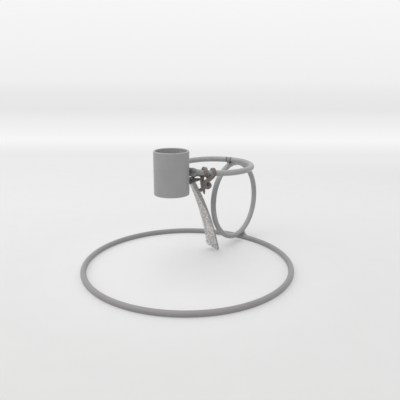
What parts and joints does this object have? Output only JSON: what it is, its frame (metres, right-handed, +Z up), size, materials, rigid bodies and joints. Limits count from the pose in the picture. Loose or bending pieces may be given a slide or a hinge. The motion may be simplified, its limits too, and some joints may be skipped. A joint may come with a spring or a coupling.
{
  "type": "candle holder",
  "caption": "Wire candle holder: a tubular candle cup welded to a small ring that rests on an upright ring above a wide base ring, with a metal tag hung from the small ring on a leather lace.",
  "frame": {"origin": "middle of the base ring, on the surface it stands on", "axes": "+Z up; +Y from the middle towards the upright ring at the back; the candle cup is in front, on the -Y side of the small ring"},
  "size_m": [0.1542, 0.1772, 0.0864],
  "materials": {
    "grey_wire": "grey satin coat on steel rod",
    "grey_cup": "grey satin coat on steel tube",
    "weld_bead": "grey satin coat over rough weld",
    "lace_leather": "brown-grey suede lace",
    "tag_metal": "hammered, dull silver colour"
  },
  "bodies": {
    "frame": {"base_ring": "grey_wire", "upright_ring": "grey_wire", "top_ring": "grey_wire", "top_ring_seam": "weld_bead", "candle_cup": "grey_cup", "cup_floor": "grey_cup", "foot_weld": "weld_bead", "shoulder_weld": "weld_bead", "cup_weld": "weld_bead"},
    "lace": {"lace": "lace_leather"},
    "tag": {"tag": "tag_metal"}
  },
  "joints": [
    {"name": "lace_slide", "type": "hinge", "parent": "frame", "child": "lace", "pos_m": [0.0007, 0.0339, 0.07038], "axis": [0, 0, 1], "range_deg": [-8, 75]},
    {"name": "tag_swing", "type": "hinge", "parent": "lace", "child": "tag", "pos_m": [-0.00418, 0.00934, 0.06218], "axis": [0.021, -0.801, -0.5984], "range_deg": [-45, 55]}
  ]
}
